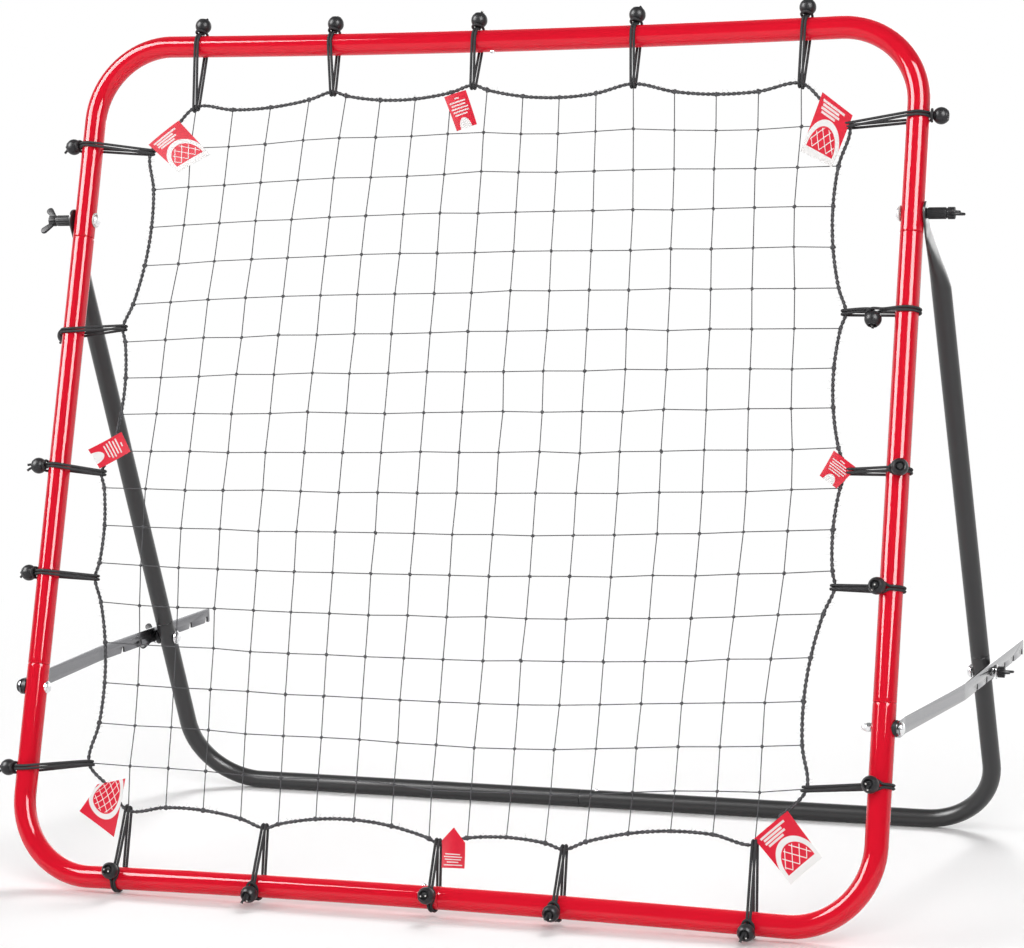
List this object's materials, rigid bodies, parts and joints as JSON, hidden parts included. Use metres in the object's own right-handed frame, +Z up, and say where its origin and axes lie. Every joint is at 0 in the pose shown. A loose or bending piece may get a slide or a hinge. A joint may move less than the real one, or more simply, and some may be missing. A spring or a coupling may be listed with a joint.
{
  "type": "soccer rebounder",
  "caption": "Leaning square tube frame with a net held by ball bungees, folding rear legs and notched angle bars that set its lean.",
  "frame": {"origin": "middle of the footprint on the floor", "axes": "+X to the right seen from the front, +Y to the back, +Z up; the net faces -Y and leans back"},
  "size_m": [1.1056, 0.6622, 0.9724],
  "materials": {
    "red_powder_coat": "gloss powder coat",
    "dark_grey_paint": "satin paint",
    "zinc_plate": "bright zinc plate",
    "bright_zinc": "bright zinc plate",
    "black_plastic": "moulded, satin",
    "black_elastic": "braided elastic cord with a moulded ball",
    "black_twine": "twisted twine"
  },
  "bodies": {
    "front_frame": {"ball_bungee_bottom_1": "black_elastic", "ball_bungee_bottom_2": "black_elastic", "ball_bungee_bottom_3": "black_elastic", "ball_bungee_bottom_4": "black_elastic", "ball_bungee_bottom_5": "black_elastic", "ball_bungee_left_1": "black_elastic", "ball_bungee_left_2": "black_elastic", "ball_bungee_left_3": "black_elastic", "ball_bungee_left_4": "black_elastic", "ball_bungee_left_5": "black_elastic", "ball_bungee_right_1": "black_elastic", "ball_bungee_right_2": "black_elastic", "ball_bungee_right_3": "black_elastic", "ball_bungee_right_4": "black_elastic", "ball_bungee_right_5": "black_elastic", "ball_bungee_top_1": "black_elastic", "ball_bungee_top_2": "black_elastic", "ball_bungee_top_3": "black_elastic", "ball_bungee_top_4": "black_elastic", "ball_bungee_top_5": "black_elastic", "bar_bolt_left": "bright_zinc", "bar_bolt_right": "bright_zinc", "bar_nut_left": "black_plastic", "bar_nut_right": "bright_zinc", "bar_saddle_left": "black_plastic", "bar_saddle_right": "black_plastic", "front_lower_left": "red_powder_coat", "front_lower_right": "red_powder_coat", "front_post_left": "red_powder_coat", "front_post_right": "red_powder_coat", "front_upper_left": "red_powder_coat", "front_upper_right": "red_powder_coat", "pivot_bolt_left": "bright_zinc", "pivot_bolt_right": "bright_zinc", "pivot_sleeve_left": "black_plastic", "pivot_sleeve_right": "black_plastic", "rebound_net": "black_twine", "snap_button_bottom": "bright_zinc", "snap_button_top": "bright_zinc"},
    "rear_leg": {"leg_bolt_left": "bright_zinc", "leg_bolt_right": "bright_zinc", "leg_saddle_left": "black_plastic", "leg_saddle_right": "black_plastic", "leg_washer_left": "bright_zinc", "leg_washer_right": "bright_zinc", "rear_lower_left": "dark_grey_paint", "rear_lower_right": "dark_grey_paint", "rear_upper_left": "dark_grey_paint", "rear_upper_right": "dark_grey_paint", "snap_button_rear": "bright_zinc"},
    "bar_left": {"angle_bar_left": "zinc_plate"},
    "bar_right": {"angle_bar_right": "zinc_plate"},
    "pivot_wing_nut_left": {"pivot_wing_nut_left": "black_plastic"},
    "pivot_wing_nut_right": {"pivot_wing_nut_right": "black_plastic"},
    "leg_wing_nut_left": {"leg_wing_nut_left": "black_plastic"},
    "leg_wing_nut_right": {"leg_wing_nut_right": "black_plastic"}
  },
  "joints": [
    {"name": "rear_leg_fold", "type": "hinge", "parent": "front_frame", "child": "rear_leg", "pos_m": [0, -0.08591, 0.74088], "axis": [1, 0, 0], "range_deg": [-25, 0]},
    {"name": "bar_left_lift", "type": "hinge", "parent": "front_frame", "child": "bar_left", "pos_m": [-0.50435, -0.23981, 0.2166], "axis": [1, 0, 0], "range_deg": [0, 50]},
    {"name": "bar_right_lift", "type": "hinge", "parent": "front_frame", "child": "bar_right", "pos_m": [0.50435, -0.23981, 0.2166], "axis": [1, 0, 0], "range_deg": [0, 50]},
    {"name": "pivot_nut_left_turn", "type": "hinge", "parent": "front_frame", "child": "pivot_wing_nut_left", "pos_m": [-0.52865, -0.08591, 0.74088], "axis": [1, 0, 0], "continuous": true},
    {"name": "pivot_nut_right_turn", "type": "hinge", "parent": "front_frame", "child": "pivot_wing_nut_right", "pos_m": [0.52865, -0.08591, 0.74088], "axis": [1, 0, 0], "continuous": true},
    {"name": "leg_nut_left_turn", "type": "hinge", "parent": "rear_leg", "child": "leg_wing_nut_left", "pos_m": [-0.53879, 0.16578, 0.20877], "axis": [1, 0, 0], "continuous": true},
    {"name": "leg_nut_right_turn", "type": "hinge", "parent": "rear_leg", "child": "leg_wing_nut_right", "pos_m": [0.53879, 0.16578, 0.20877], "axis": [1, 0, 0], "continuous": true}
  ],
  "couplings": [
    {"joint": "bar_left_lift", "follows": "rear_leg_fold", "ratio": -2},
    {"joint": "bar_right_lift", "follows": "rear_leg_fold", "ratio": -2}
  ]
}
